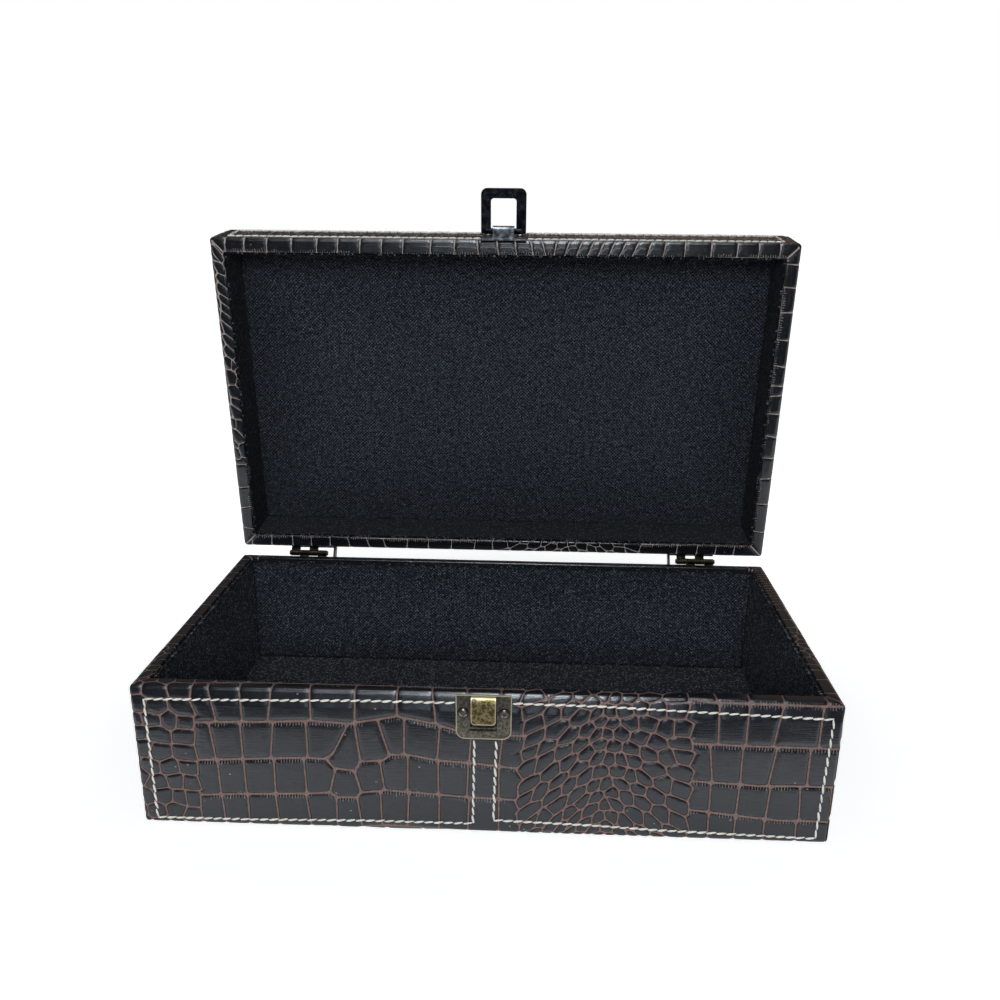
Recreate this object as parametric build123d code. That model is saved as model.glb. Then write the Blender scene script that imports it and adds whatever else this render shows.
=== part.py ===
from build123d import *
import math
import os

# Storage box with a hinged lid, shown open. Millimetres, +Z up, the front is -Y.
# The origin is the middle of the underside.

# Whole case, measured over the covering
case_width = 315.0
case_depth = 181.0
base_height = 72.0
lid_height = 35.0
rim_gap = 0.3
open_angle = 84.0

# Boards
wall_board_thick = 5.9
bottom_board_thick = 4.5
top_board_thick = 5.0

# Leatherette wrap
cover_thick = 0.8
edge_round = 2.0
rim_inner_round = 0.6
turn_in = 14.0
turn_under = 12.0

# Felt under the base
felt_thick = 1.0
felt_inset = 4.0
felt_step_gap = 0.3

# How far a cutting block runs past what it cuts
cut_past = 1.0

# Lining cards
card_thick = 1.0
card_below_rim = 1.5

# Latch, catch plate and its tongue
latch_offset = 0.5
catch_width = 24.5
catch_height = 21.5
catch_top_drop = 0.2
latch_sheet = 1.0
plate_corner = 4.0
plate_top_corner = 0.6
tongue_width = 10.9
tongue_out = 4.9
tongue_tip_round = 1.8
tongue_tip_clear = 0.4
window_side_gap = 0.5
window_below_tip = 5.0
window_corner = 0.8
catch_screw_spacing = 18.0
catch_screw_drop = 8.6

# Latch, hasp plate on the lid
hasp_width = 24.2
hasp_height = 18.0
hasp_screw_spacing = 17.0
hasp_screw_rise = 11.5
knuckle_width = 11.4
knuckle_wall = 1.15

# Latch loop
loop_pivot_out = 4.5
loop_pivot_rise = 3.0
loop_axle_radius = 1.5
loop_axle_clear = 0.07
loop_width = 23.8
loop_bar = 5.2
loop_thick = 2.0
loop_reach = 21.4
loop_far_bar = 5.0
loop_tail = 1.3
loop_corner = 3.2
loop_inner_corner = 1.6
loop_edge = 0.5

# Hinges
hinge_from_end = 40.1
hinge_pin_back = 3.3
hinge_knuckle = 5.5
knuckle_count = 4
hinge_knuckle_gap = 0.2
hinge_barrel_radius = 1.8
hinge_pin_radius = 0.9
hinge_pin_clear = 0.05
hinge_pin_head = 1.4
hinge_pin_head_thick = 0.6
hinge_pin_end_gap = 0.15
leaf_sheet = 0.9
leaf_start = 3.0
leaf_height = 12.0
leaf_corner = 1.0
strap_front_angle = 223.0
strap_back_angle = 308.0
hinge_arm_offset = 16.1
hinge_arm_thick = 1.2
hinge_arm_low = 7.0
hinge_arm_high = 3.4
hinge_arm_reach = 8.0
hinge_stop_gap = 0.3
hinge_screw_spacing = 14.0
hinge_screw_down = 6.6

# Screws
latch_screw_head = 2.1
latch_screw_dome = 1.1
latch_screw_shank = 1.1
hinge_screw_head = 1.8
hinge_screw_dome = 0.9
hinge_screw_shank = 0.9
screw_bite = 4.6
screw_tip = 1.5
screw_clear = 0.05
screw_slot_width = 0.45
screw_slot_depth = 0.5
screw_slot_share = 0.62
screw_point = 0.2
screw_dome_share = 0.9

# Levels and planes worked out from the sizes above
wall_thick = wall_board_thick + 2 * cover_thick
front_face = -case_depth / 2
rear_face = case_depth / 2
lid_rim = base_height + rim_gap
lid_top = lid_rim + lid_height
pin_y = rear_face + hinge_pin_back
pin_z = base_height
hinge_axis = Axis((0, pin_y, pin_z), (1, 0, 0))
loop_y = front_face - loop_pivot_out
loop_z = lid_rim + loop_pivot_rise
tongue_tip = loop_z - (loop_reach - loop_far_bar) + tongue_tip_clear
catch_top = base_height - catch_top_drop
hinge_centre = case_width / 2 - hinge_from_end
hinge_half_barrel = knuckle_count * hinge_knuckle / 2


def block(x_low, x_high, y_low, y_high, z_low, z_high):
    """A plain box between two corners."""
    centre = Pos((x_low + x_high) / 2, (y_low + y_high) / 2, (z_low + z_high) / 2)
    return centre * Box(x_high - x_low, y_high - y_low, z_high - z_low)


def centred_block(width, depth, z_low, z_high):
    """A box centred on the case, between two levels."""
    return block(-width / 2, width / 2, -depth / 2, depth / 2, z_low, z_high)


def rounded_block(width, depth, z_low, z_high, radius):
    """A centred box with every edge rounded."""
    solid = centred_block(width, depth, z_low, z_high)
    return fillet(solid.edges(), radius)


# Each half of the case is a tray. A tray stands on its closed side at level 0, with its rim up.
def board_envelope(height):
    """The space that the boards fill, inside the wrap."""
    width = case_width - 2 * cover_thick
    depth = case_depth - 2 * cover_thick
    return rounded_block(width, depth, cover_thick, height - cover_thick, edge_round - cover_thick)


def tray_cover(height):
    """Leatherette over the outside and the rim, turned down inside the walls."""
    skin = rounded_block(case_width, case_depth, 0, height, edge_round)
    inside_width = case_width - 2 * (cover_thick + wall_board_thick)
    inside_depth = case_depth - 2 * (cover_thick + wall_board_thick)
    window = centred_block(inside_width, inside_depth, height - turn_in, height)
    skin -= board_envelope(height) - window
    mouth_width = case_width - 2 * wall_thick
    mouth_depth = case_depth - 2 * wall_thick
    skin -= centred_block(mouth_width, mouth_depth, height - turn_in - cut_past, height + cut_past)
    rim = skin.faces().filter_by(Axis.Z).sort_by(Axis.Z)[-1]
    return fillet(rim.inner_wires()[0].edges(), rim_inner_round)


def tray_walls(height):
    """Front and rear boards run the full width, and the side boards stand between them."""
    envelope = board_envelope(height)
    half_width = case_width / 2 - cover_thick
    half_depth = case_depth / 2 - cover_thick
    inner_x = half_width - wall_board_thick
    inner_y = half_depth - wall_board_thick
    spans = {
        "front": (-half_width, half_width, -half_depth, -inner_y),
        "rear": (-half_width, half_width, inner_y, half_depth),
        "left": (-half_width, -inner_x, -inner_y, inner_y),
        "right": (inner_x, half_width, -inner_y, inner_y),
    }
    return {side: envelope & block(*span, 0, height) for side, span in spans.items()}


def tray_floor(thick):
    """The board that closes the tray, let in between the walls."""
    width = case_width - 2 * (cover_thick + wall_board_thick)
    depth = case_depth - 2 * (cover_thick + wall_board_thick)
    return centred_block(width, depth, cover_thick, cover_thick + thick)


def tray_linings(height, floor_thick):
    """A floor card, and four wall cards that stand on it."""
    outer_x = case_width / 2 - wall_thick
    outer_y = case_depth / 2 - wall_thick
    inner_x = outer_x - card_thick
    inner_y = outer_y - card_thick
    floor_level = cover_thick + floor_thick
    low = floor_level + card_thick
    high = height - card_below_rim
    return {
        "floor": block(-outer_x, outer_x, -outer_y, outer_y, floor_level, low),
        "front": block(-outer_x, outer_x, -outer_y, -inner_y, low, high),
        "rear": block(-outer_x, outer_x, inner_y, outer_y, low, high),
        "left": block(-outer_x, -inner_x, -inner_y, inner_y, low, high),
        "right": block(inner_x, outer_x, -inner_y, inner_y, low, high),
    }


def underside_felt():
    """Felt over the turned-under edge, with its middle glued up to the bottom board."""
    sheet = centred_block(case_width - 2 * felt_inset, case_depth - 2 * felt_inset, 0, felt_thick)
    step_x = case_width - 2 * (turn_under + felt_step_gap)
    step_y = case_depth - 2 * (turn_under + felt_step_gap)
    return sheet + centred_block(step_x, step_y, felt_thick, felt_thick + cover_thick)


def on_base(shape):
    """Lifts a tray piece to its place in the base, above the felt."""
    return Pos(0, 0, felt_thick) * shape


def on_closed_lid(shape):
    """Turns a tray piece rim down, to its place in the closed lid."""
    return Pos(0, 0, lid_top) * mirror(shape, about=Plane.XY)


def opened(shape):
    """Swings a piece of the closed lid open about the hinge pins."""
    return shape.rotate(hinge_axis, -open_angle)


# Screws point along -Z with their head's seat at level 0.
def screw(head, dome, shank, length):
    """A domed cross-slot screw."""
    top = Pos(0, 0, dome / 2) * Cylinder(head, dome)
    top = fillet(top.edges().sort_by(Axis.Z)[-1], dome * screw_dome_share)
    slot_length = 2 * head * screw_slot_share
    for angle in (0, 90):
        slot = Box(slot_length, screw_slot_width, 2 * screw_slot_depth)
        top -= Pos(0, 0, dome) * Rot(0, 0, angle) * slot
    straight = length - screw_tip
    body = Pos(0, 0, -straight / 2) * Cylinder(shank, straight)
    point = Pos(0, 0, -straight - screw_tip / 2) * Cone(screw_point, shank, screw_tip)
    return top + body + point


def screw_hole(shank, length):
    """The clearance hole that a screw of this length needs below its seat."""
    return Pos(0, 0, -length / 2) * Cylinder(shank + screw_clear, length + 2 * screw_clear)


def facing_front(x, z, proud):
    """A seat on the front face, looking forward."""
    return Pos(x, front_face - proud, z) * Rot(90, 0, 0)


def facing_rear(x, z, proud):
    """A seat on the rear face, looking back."""
    return Pos(x, rear_face + proud, z) * Rot(-90, 0, 0)


latch_screw_length = latch_sheet + cover_thick + screw_bite
hinge_screw_length = leaf_sheet + cover_thick + screw_bite


def latch_seats(spacing, z):
    """The two screw seats of a latch plate."""
    return [facing_front(latch_offset + side * spacing / 2, z, latch_sheet) for side in (-1, 1)]


def hinge_seats(z):
    """The four screw seats of the two hinge leaves on one half of the case."""
    seats = []
    for side in (-1, 1):
        middle = side * leaf_middle
        for step in (-1, 1):
            seats.append(facing_rear(middle + step * hinge_screw_spacing / 2, z, leaf_sheet))
    return seats


def latch_screws(seats):
    """Screws of a latch plate, as separate solids of one node."""
    one = screw(latch_screw_head, latch_screw_dome, latch_screw_shank, latch_screw_length)
    return Compound([seat * one for seat in seats])


def hinge_screws(seats):
    """Screws of the hinge leaves, as separate solids of one node."""
    one = screw(hinge_screw_head, hinge_screw_dome, hinge_screw_shank, hinge_screw_length)
    return Compound([seat * one for seat in seats])


def drilled(shape, seats, shank, length):
    """Drills the screws' clearance holes at their seats."""
    hole = screw_hole(shank, length)
    for seat in seats:
        shape -= seat * hole
    return shape


# The latch
def tongue_profile():
    """The tongue in side view: up the plate, round over the top and down in front of it."""
    bend_outer = tongue_out / 2
    bend_inner = bend_outer - latch_sheet
    bend_level = catch_top - bend_outer
    plate_back = front_face
    plate_front = front_face - latch_sheet
    face_back = front_face - tongue_out + latch_sheet
    face_front = front_face - tongue_out
    middle = front_face - bend_outer
    outer_arc = ThreePointArc((plate_back, bend_level), (middle, catch_top), (face_front, bend_level))
    inner_top = bend_level + bend_inner
    inner_arc = ThreePointArc((face_back, bend_level), (middle, inner_top), (plate_front, bend_level))
    down = Polyline(
        (face_front, bend_level),
        (face_front, tongue_tip),
        (face_back, tongue_tip),
        (face_back, bend_level),
    )
    foot = bend_level - latch_sheet
    up = Polyline(
        (plate_front, bend_level),
        (plate_front, foot),
        (plate_back, foot),
        (plate_back, bend_level),
    )
    outline = Curve() + [outer_arc, down, inner_arc, up]
    return Plane.YZ * make_face(outline)


def catch_plate(seats):
    """Plate on the base with a window, and the tongue folded over in front of it."""
    plate_face = Pos(latch_offset, catch_top - catch_height / 2) * Rectangle(catch_width, catch_height)
    corners = plate_face.vertices().sort_by(Axis.Y)
    plate_face = fillet(corners[:2], plate_corner)
    top = plate_face.vertices().sort_by(Axis.Y)[-2:]
    plate_face = fillet(top, plate_top_corner)
    window_top = catch_top - tongue_out / 2
    window_bottom = tongue_tip - window_below_tip
    window_width = tongue_width + 2 * window_side_gap
    window = Pos(latch_offset, (window_top + window_bottom) / 2)
    window *= RectangleRounded(window_width, window_top - window_bottom, window_corner)
    front = Plane((0, front_face, 0), x_dir=(1, 0, 0), z_dir=(0, -1, 0))
    plate = extrude(front * (plate_face - window), latch_sheet)
    tongue = extrude(tongue_profile(), tongue_width / 2, both=True)
    tongue = Pos(latch_offset, 0, 0) * tongue
    tip = tongue.edges().filter_by(Axis.Y).group_by(Axis.Z)[0]
    tongue = fillet(tip, tongue_tip_round)
    return drilled(plate + tongue, seats, latch_screw_shank, latch_screw_length)


def hasp_plate(seats):
    """Plate on the lid's front wall. Its edge turns up at the rim and curls round the axle."""
    middle = lid_rim + hasp_height / 2
    plate_face = Pos(latch_offset, middle) * Rectangle(hasp_width, hasp_height)
    top = plate_face.vertices().sort_by(Axis.Y)[-2:]
    plate_face = fillet(top, plate_corner)
    front = Plane((0, front_face, 0), x_dir=(1, 0, 0), z_dir=(0, -1, 0))
    plate = extrude(front * plate_face, latch_sheet)
    bore = loop_axle_radius + loop_axle_clear
    curl_radius = bore + knuckle_wall
    left = latch_offset - knuckle_width / 2
    right = latch_offset + knuckle_width / 2
    low = loop_z - curl_radius
    web = block(left, right, loop_y, front_face - latch_sheet / 2, low, low + knuckle_wall)
    along = Pos(latch_offset, loop_y, loop_z) * Rot(0, 90, 0)
    solid = plate + web + along * Cylinder(curl_radius, knuckle_width)
    solid -= along * Cylinder(bore, knuckle_width + cut_past)
    return drilled(solid, seats, latch_screw_shank, latch_screw_length)


def latch_loop():
    """Pressed frame on a round axle. It points straight out from the lid's front wall."""
    length = loop_reach + loop_tail
    outline = Pos(0, (loop_tail - loop_reach) / 2) * Rectangle(loop_width, length)
    ordered = outline.vertices().sort_by(Axis.Y)
    outline = fillet(ordered[:2], loop_corner)
    near = outline.vertices().sort_by(Axis.Y)[-2:]
    outline = fillet(near, loop_tail)
    opening_far = loop_far_bar - loop_reach
    opening_near = loop_tail + cut_past
    opening = Pos(0, (opening_far + opening_near) / 2)
    opening *= Rectangle(loop_width - 2 * loop_bar, opening_near - opening_far)
    far = opening.vertices().sort_by(Axis.Y)[:2]
    opening = fillet(far, loop_inner_corner)
    frame = extrude(outline - opening, loop_thick / 2, both=True)
    faces = frame.faces().filter_by(Axis.Z)
    frame = fillet(faces.edges(), loop_edge)
    axle = Rot(0, 90, 0) * Cylinder(loop_axle_radius, loop_width - loop_bar)
    return Pos(latch_offset, loop_y, loop_z) * (frame + axle)


# The hinges. Each has four knuckles: lid, base, lid, base from the left.
leaf_outer = hinge_centre + hinge_half_barrel
leaf_inner = hinge_centre - hinge_arm_offset
leaf_middle = (leaf_outer + leaf_inner) / 2
pin_bore = hinge_pin_radius + hinge_pin_clear


def knuckle_spans(centre, first):
    """The stretches along X of every second knuckle, from the given one on."""
    spans = []
    for index in range(first, knuckle_count, 2):
        start = centre - hinge_half_barrel + index * hinge_knuckle
        low = start + hinge_knuckle_gap / 2
        spans.append((low, low + hinge_knuckle - hinge_knuckle_gap))
    return spans


def on_barrel(angle):
    """A point on the barrel's outside, by its angle from straight back."""
    across = hinge_barrel_radius * math.cos(math.radians(angle))
    up = hinge_barrel_radius * math.sin(math.radians(angle))
    return (pin_y + across, pin_z + up)


def strap_profile():
    """The sheet between a leaf and its curl, in side view, as on the base."""
    leaf_top = base_height - leaf_start
    outline = Polyline(
        (rear_face, leaf_top),
        on_barrel(strap_front_angle),
        on_barrel(strap_back_angle),
        (rear_face + leaf_sheet, leaf_top - leaf_sheet),
        (rear_face, leaf_top - leaf_sheet),
        close=True,
    )
    return Plane.YZ * make_face(outline)


def base_leaf(side, seats):
    """A leaf on the base's rear face with its two curls, before any mirroring."""
    ends = sorted((side * leaf_inner, side * leaf_outer))
    leaf_top = base_height - leaf_start
    plate = block(*ends, rear_face, rear_face + leaf_sheet, leaf_top - leaf_height, leaf_top)
    low_corners = plate.edges().filter_by(Axis.Y).group_by(Axis.Z)[0]
    leaf = fillet(low_corners, leaf_corner)
    for low, high in knuckle_spans(side * hinge_centre, 1):
        middle = Pos((low + high) / 2, pin_y, pin_z) * Rot(0, 90, 0)
        leaf += Pos(low, 0, 0) * extrude(strap_profile(), high - low)
        leaf += middle * Cylinder(hinge_barrel_radius, high - low)
    leaf -= pin_bore_cut()
    return drilled(leaf, seats, hinge_screw_shank, hinge_screw_length)


def pin_bore_cut():
    """The bore of both hinges' knuckles."""
    return Pos(0, pin_y, pin_z) * Rot(0, 90, 0) * Cylinder(pin_bore, case_width)


def closed_lid_leaf(side, seats):
    """A leaf on the closed lid's rear face, the base leaf turned upside down."""
    ends = sorted((side * leaf_inner, side * leaf_outer))
    leaf_low = base_height + leaf_start
    plate = block(*ends, rear_face, rear_face + leaf_sheet, leaf_low, leaf_low + leaf_height)
    high_corners = plate.edges().filter_by(Axis.Y).group_by(Axis.Z)[-1]
    leaf = fillet(high_corners, leaf_corner)
    level = Plane((0, 0, pin_z))
    for low, high in knuckle_spans(side * hinge_centre, 0):
        middle = Pos((low + high) / 2, pin_y, pin_z) * Rot(0, 90, 0)
        strap = Pos(low, 0, 0) * extrude(strap_profile(), high - low)
        leaf += mirror(strap, about=level)
        leaf += middle * Cylinder(hinge_barrel_radius, high - low)
    leaf -= pin_bore_cut()
    return drilled(leaf, seats, hinge_screw_shank, hinge_screw_length)


def stop_arm(side):
    """The arm at the lid leaf's inner end. Open, its edge bears on the base leaf."""
    contact = rear_face + leaf_sheet + hinge_stop_gap
    leaf_plane = pin_z + hinge_pin_back
    outline = Polyline(
        (contact, pin_z - hinge_arm_high),
        (contact, pin_z - hinge_arm_low),
        (pin_y + hinge_barrel_radius, pin_z - hinge_arm_low),
        (pin_y + hinge_arm_reach, leaf_plane - leaf_sheet),
        (pin_y + hinge_arm_reach, leaf_plane + leaf_sheet / 3),
        (pin_y + leaf_start, leaf_plane - leaf_sheet / 4),
        close=True,
    )
    arm = extrude(Plane.YZ * make_face(outline), hinge_arm_thick)
    start = side * leaf_inner if side > 0 else side * leaf_inner - hinge_arm_thick
    return Pos(start, 0, 0) * arm


def hinge_pin(side):
    """A pin through one hinge, headed at both ends."""
    length = 2 * (hinge_half_barrel + hinge_pin_end_gap)
    pin = Cylinder(hinge_pin_radius, length)
    for end in (-1, 1):
        offset = end * (length + hinge_pin_head_thick) / 2
        head = Pos(0, 0, offset) * Cylinder(hinge_pin_head, hinge_pin_head_thick)
        outer_edge = head.edges().sort_by(Axis.Z)[-1 if end > 0 else 0]
        pin += fillet(outer_edge, hinge_pin_head_thick / 2)
    return Pos(side * hinge_centre, pin_y, pin_z) * Rot(0, 90, 0) * pin


def base_nodes():
    """Everything that stays put."""
    catch_seats = latch_seats(catch_screw_spacing, catch_top - catch_screw_drop)
    leaf_seats = hinge_seats(base_height - leaf_start - hinge_screw_down)
    tray_height = base_height - felt_thick
    cover = on_base(tray_cover(tray_height))
    under_x = case_width - 2 * turn_under
    under_y = case_depth - 2 * turn_under
    cover -= centred_block(under_x, under_y, 0, felt_thick + cover_thick)
    cover = drilled(cover, catch_seats, latch_screw_shank, latch_screw_length)
    cover = drilled(cover, leaf_seats, hinge_screw_shank, hinge_screw_length)
    boards = {side: on_base(board) for side, board in tray_walls(tray_height).items()}
    boards["front"] = drilled(boards["front"], catch_seats, latch_screw_shank, latch_screw_length)
    boards["rear"] = drilled(boards["rear"], leaf_seats, hinge_screw_shank, hinge_screw_length)
    nodes = {f"base_{side}_board": board for side, board in boards.items()}
    nodes["base_bottom_board"] = on_base(tray_floor(bottom_board_thick))
    nodes["base_cover"] = cover
    nodes["base_underside_felt"] = underside_felt()
    for side, card in tray_linings(tray_height, bottom_board_thick).items():
        nodes[f"base_lining_{side}"] = on_base(card)
    nodes["catch_plate"] = catch_plate(catch_seats)
    nodes["catch_screws"] = latch_screws(catch_seats)
    nodes["hinge_base_screws"] = hinge_screws(leaf_seats)
    for name, side in (("left", -1), ("right", 1)):
        nodes[f"hinge_base_leaf_{name}"] = base_leaf(side, leaf_seats)
        nodes[f"hinge_pin_{name}"] = hinge_pin(side)
    return nodes


def lid_nodes():
    """Everything that swings with the lid, worked out closed and then opened."""
    hasp_seats = latch_seats(hasp_screw_spacing, lid_rim + hasp_screw_rise)
    leaf_seats = hinge_seats(base_height + leaf_start + hinge_screw_down)
    cover = on_closed_lid(tray_cover(lid_height))
    cover = drilled(cover, hasp_seats, latch_screw_shank, latch_screw_length)
    cover = drilled(cover, leaf_seats, hinge_screw_shank, hinge_screw_length)
    boards = {side: on_closed_lid(board) for side, board in tray_walls(lid_height).items()}
    boards["front"] = drilled(boards["front"], hasp_seats, latch_screw_shank, latch_screw_length)
    boards["rear"] = drilled(boards["rear"], leaf_seats, hinge_screw_shank, hinge_screw_length)
    closed = {f"lid_{side}_board": board for side, board in boards.items()}
    closed["lid_top_board"] = on_closed_lid(tray_floor(top_board_thick))
    closed["lid_cover"] = cover
    for side, card in tray_linings(lid_height, top_board_thick).items():
        name = "top" if side == "floor" else side
        closed[f"lid_lining_{name}"] = on_closed_lid(card)
    closed["hasp_plate"] = hasp_plate(hasp_seats)
    closed["hasp_screws"] = latch_screws(hasp_seats)
    closed["hinge_lid_screws"] = hinge_screws(leaf_seats)
    for name, side in (("left", -1), ("right", 1)):
        closed[f"hinge_lid_leaf_{name}"] = closed_lid_leaf(side, leaf_seats)
    nodes = {name: opened(shape) for name, shape in closed.items()}
    for name, side in (("left", -1), ("right", 1)):
        nodes[f"hinge_lid_leaf_{name}"] += stop_arm(side)
    nodes["latch_loop"] = opened(latch_loop())
    return nodes


def main():
    os.makedirs("parts", exist_ok=True)
    nodes = base_nodes() | lid_nodes()
    for name, shape in nodes.items():
        export_step(shape, f"parts/{name}.step")


main()
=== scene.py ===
import math
import bmesh
import bpy
import numpy as np
from mathutils import Matrix, Vector


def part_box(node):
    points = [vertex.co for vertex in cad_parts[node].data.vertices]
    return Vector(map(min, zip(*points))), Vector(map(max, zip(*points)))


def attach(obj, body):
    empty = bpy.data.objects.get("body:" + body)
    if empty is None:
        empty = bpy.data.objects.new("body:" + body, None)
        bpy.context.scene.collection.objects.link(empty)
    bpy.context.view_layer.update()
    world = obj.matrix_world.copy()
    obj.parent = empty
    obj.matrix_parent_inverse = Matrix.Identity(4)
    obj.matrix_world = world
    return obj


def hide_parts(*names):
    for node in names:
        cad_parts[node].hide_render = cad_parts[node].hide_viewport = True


# Storage box with a hinged lid, shown open. Sizes below are in millimetres and become metres in the meshes.
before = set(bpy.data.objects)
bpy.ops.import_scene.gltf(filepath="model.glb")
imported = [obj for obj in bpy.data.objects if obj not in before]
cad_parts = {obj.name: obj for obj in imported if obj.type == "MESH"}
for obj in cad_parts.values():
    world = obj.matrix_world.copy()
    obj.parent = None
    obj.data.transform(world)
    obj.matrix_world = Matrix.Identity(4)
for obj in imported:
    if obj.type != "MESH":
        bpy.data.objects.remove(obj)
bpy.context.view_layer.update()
MM = 0.001

# The case
CASE_WIDTH = 315.0
CASE_DEPTH = 181.0
FRONT = -CASE_DEPTH / 2
BASE_HEIGHT = 72.0
BASE_TRAY = 71.0
FELT = 1.0
LID_TRAY = 35.0
LID_TOP = 107.3
PIN_Y = 93.8
OPEN_ANGLE = 84.0
WALL = 7.5
EDGE = 2.0
RIM_EDGE = 3.1
BASE_RIM = 73.8
LID_RIM = 37.8
INNER_EDGE = 0.6
UNDER = 11.0
TUCK = 0.9
TURN_IN = 13.0
LATCH_X = 0.5
CATCH_HALF = 12.25
CATCH_TOP = 71.8
CATCH_LOW = 50.3
TONGUE_HALF = 5.45
TONGUE_TIP = 59.3

# Crocodile grain. FINE factors narrow a line, and FAR is past the reach of every line.
STEP = 0.62
PANEL_STEP = 0.8
GROOVE_DEPTH = 0.40
GROOVE_REACH = 1.8
ROW_PITCH = 19.0
COLUMN_PITCH = 13.2
SEAT_DEPTH = 0.05
CELL_FINE = 1.2
ROW_FINE = 0.8
COLUMNS_END = 170.0
AREA_SPAN = (-16.0, 110.0)
AREA_SAMPLES = 120
FAR = 9.0
CHUNK = 20000
TICK_PITCH = 1.3

# Cloth
THREAD_PITCH = 1.9
CARD_EDGE = 0.35
CARD_STEP = 3.0
# How far painted light reaches from a card's front edge
EDGE_LIFT_REACH = 11.0

# Camera, worked out from the edges of the case in the photograph
CAMERA_PLACE = (22.6213, -486.5812, 271.4694)
CAMERA_TURN = (-2.2371, 19.9294, 0.5791)
CAMERA_LENS = 36.351
CAMERA_SHIFT = (-0.0003, 0.07446)

# Light
SURROUND = 0.05
TABLE_GLOW = 0.62
TABLE_WHITE = 1.05
CONTACT_SHADE = 0.35
FLAG_NEAR = 81.0
FLAG_FADE = 24.0
FLAG_DIM = 0.05
ROOM_DIM = 0.055
ROOM_RADIUS = 2600.0
ROOM_HEIGHT = 12000.0
ROOM_SIDES = 36


# Places
def on_base(points):
    """Tray coordinates to the row frame, for the base."""
    return points + np.array([0.0, 0.0, FELT])


def on_lid(points):
    """Tray coordinates to the row frame, for the lid as it stands open."""
    return swung(np.column_stack([points[:, 0], points[:, 1], LID_TOP - points[:, 2]]), -OPEN_ANGLE)


def swung(points, degrees):
    """Swings points about the hinge pins. A negative angle opens the lid."""
    angle = math.radians(degrees)
    y = points[:, 1] - PIN_Y
    z = points[:, 2] - BASE_HEIGHT
    turned_y = PIN_Y + y * math.cos(angle) - z * math.sin(angle)
    turned_z = BASE_HEIGHT + y * math.sin(angle) + z * math.cos(angle)
    return np.column_stack([points[:, 0], turned_y, turned_z])


def directions(place, vectors):
    """Turns direction vectors the way a placing function turns points."""
    return place(vectors) - place(np.zeros((1, 3)))


def linked(name, data):
    """A new object in the scene."""
    made = bpy.data.objects.new(name, data)
    bpy.context.scene.collection.objects.link(made)
    return made


def mesh_object(name, points, faces, material, smooth=True):
    """A mesh from points in millimetres."""
    mesh = bpy.data.meshes.new(name)
    mesh.from_pydata((np.array(points) * MM).tolist(), [], faces)
    mesh.polygons.foreach_set("use_smooth", [smooth] * len(mesh.polygons))
    mesh.materials.append(material)
    mesh.update()
    return linked(name, mesh)


def grid_faces(index):
    """The four-cornered faces between the points of a grid."""
    return np.stack([index[:-1, :-1], index[:-1, 1:], index[1:, 1:], index[1:, :-1]], -1).reshape(-1, 4)


def store(piece, name, values, domain="POINT"):
    """Keeps three numbers per point or corner for a material to read."""
    attribute = piece.data.attributes.new(name, "FLOAT_VECTOR", domain)
    attribute.data.foreach_set("vector", values.astype(np.float32).ravel())


def handed_over(piece, body, slot, *nodes):
    """Ties a finished piece to its body and hides the CAD nodes it stands for. The slot is not used."""
    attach(piece, body)
    if nodes:
        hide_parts(*nodes)
    return piece


# Material building
class Nodes:
    """Shader nodes built step by step."""

    def __init__(self, owner, output):
        owner.use_nodes = True
        self.tree = owner.node_tree
        self.tree.nodes.clear()
        self.end = self.node(output).inputs[0]

    def node(self, kind):
        return self.tree.nodes.new("ShaderNode" + kind)

    def feed(self, socket, value):
        """Links a socket, or sets its constant."""
        if isinstance(value, bpy.types.NodeSocket):
            self.tree.links.new(value, socket)
        elif isinstance(value, tuple) and len(value) == 3 and socket.type == "RGBA":
            socket.default_value = (*value, 1.0)
        else:
            socket.default_value = value

    def fed(self, node, *values, **named):
        """Feeds a node's inputs in order or by name, and gives its first output."""
        for key, value in (*enumerate(values), *named.items()):
            self.feed(node.inputs[key], value)
        return node.outputs[0]


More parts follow.
